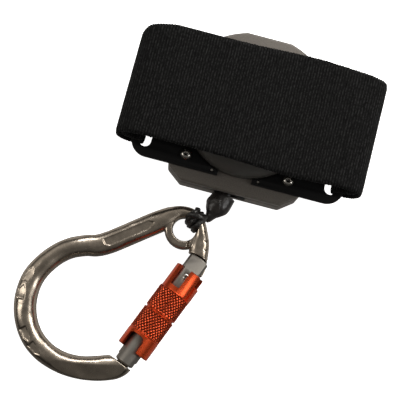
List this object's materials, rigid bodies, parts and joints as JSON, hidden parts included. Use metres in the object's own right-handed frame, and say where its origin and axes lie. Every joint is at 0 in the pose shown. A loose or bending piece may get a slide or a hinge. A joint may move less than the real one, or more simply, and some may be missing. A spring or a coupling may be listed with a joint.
{
  "type": "self retracting lifeline",
  "caption": "Self retracting lifeline: round housing on a plate with a wide elastic strap, its line hitched to a locking pear carabiner.",
  "frame": {"origin": "on the drum's axis, at the flat back face of the housing", "axes": "+X along the elastic strap, +Y away from the line's exit, +Z out of the back face towards the strap's front panel"},
  "size_m": [0.1575, 0.1956, 0.0416],
  "materials": {
    "gunmetal": "satin dark warm grey",
    "black_plate": "satin black",
    "cover_grey": "satin moulded",
    "steel": "bright",
    "spring_steel": "blued",
    "drum_grey": "moulded",
    "bronze": "sintered",
    "line_black": "braided cord",
    "boot_black": "glossy wrinkled",
    "webbing": "ribbed elastic weave",
    "forged_grey": "polished forging",
    "gate_grey": "satin turned",
    "orange": "orange anodised"
  },
  "bodies": {
    "retractor": {"rear_housing": "gunmetal", "front_housing": "gunmetal", "spring_cover": "cover_grey", "mounting_plate": "black_plate", "plate_screw_1": "steel", "plate_screw_2": "steel", "plate_screw_3": "steel", "plate_screw_4": "steel", "housing_screw_1": "steel", "housing_screw_2": "steel", "housing_screw_3": "steel", "housing_screw_4": "steel", "tip_pin_1": "steel", "tip_pin_2": "steel", "axle": "steel", "axle_screw_1": "steel", "axle_screw_2": "steel", "axle_screw_3": "steel", "axle_nut": "steel", "spring_anchor": "steel", "power_spring": "spring_steel", "ratchet_ring": "steel", "exit_guide": "black_plate", "elastic_strap": "webbing"},
    "drum": {"drum": "drum_grey", "drum_flange": "drum_grey", "flange_screw_1": "steel", "flange_screw_2": "steel", "flange_screw_3": "steel", "rear_bush": "bronze", "front_bush": "bronze", "wound_lifeline": "line_black", "pawl_pin_1": "steel", "pawl_pin_2": "steel", "pawl_spring_1": "spring_steel", "pawl_spring_2": "spring_steel"},
    "pawl_1": {"pawl_1": "steel"},
    "pawl_2": {"pawl_2": "steel"},
    "line_end": {"line_boot": "boot_black", "line_ferrule": "steel", "lifeline_lead": "line_black"},
    "carabiner": {"carabiner_frame": "forged_grey", "gate_hinge_pin": "steel", "hitch_turn_1": "line_black", "hitch_turn_2": "line_black", "hitch_bight": "line_black"},
    "gate": {"gate": "gate_grey", "gate_plunger": "steel", "gate_spring": "spring_steel", "gate_tip": "gate_grey", "sleeve_spring": "spring_steel"},
    "sleeve_carrier": {"sleeve_carrier": "steel"},
    "lock_sleeve": {"lock_sleeve": "orange"}
  },
  "joints": [
    {"name": "lifeline_pull", "type": "slide", "parent": "retractor", "child": "line_end", "axis": [-0.3665, -0.9304, 0], "range_m": [0, 1], "stiffness_N_per_m": 3, "springref_m": -1.5, "deforming": ["lifeline_lead"]},
    {"name": "drum_spin", "type": "hinge", "parent": "retractor", "child": "drum", "pos_m": [0, 0, 0.0095], "axis": [0, 0, 1], "range_deg": [0, 2400], "deforming": ["power_spring"]},
    {"name": "pawl_1_swing", "type": "hinge", "parent": "drum", "child": "pawl_1", "pos_m": [0.024, 0, 0.0043], "axis": [0, 0, -1], "range_deg": [0, 14], "stiffness_Nm_per_rad": 0.002, "springref_deg": -11.46, "deforming": ["pawl_spring_1"]},
    {"name": "pawl_2_swing", "type": "hinge", "parent": "drum", "child": "pawl_2", "pos_m": [-0.024, 0, 0.0043], "axis": [0, 0, -1], "range_deg": [0, 14], "stiffness_Nm_per_rad": 0.002, "springref_deg": -11.46, "deforming": ["pawl_spring_2"]},
    {"name": "carabiner_swing", "type": "hinge", "parent": "line_end", "child": "carabiner", "pos_m": [-0.0071, -0.0572, 0.0085], "axis": [0, 0, 1], "range_deg": [-10, 70]},
    {"name": "gate_open", "type": "hinge", "parent": "carabiner", "child": "gate", "pos_m": [-0.0109, -0.0899, 0.0092], "axis": [0, 0, -1], "range_deg": [0, 26], "stiffness_Nm_per_rad": 0.08, "springref_deg": -20.05},
    {"name": "sleeve_slide", "type": "slide", "parent": "gate", "child": "sleeve_carrier", "axis": [-0.3697, -0.9291, 0], "range_m": [0, 0.0045], "stiffness_N_per_m": 400, "springref_m": -0.006, "deforming": ["sleeve_spring"]},
    {"name": "sleeve_twist", "type": "hinge", "parent": "sleeve_carrier", "child": "lock_sleeve", "pos_m": [-0.0109, -0.0899, 0.0092], "axis": [-0.3697, -0.9291, 0], "range_deg": [0, 90], "stiffness_Nm_per_rad": 0.02, "springref_deg": -22.92}
  ],
  "couplings": [
    {"joint": "drum_spin", "follows": "lifeline_pull", "rad_per_m": 41.887}
  ]
}
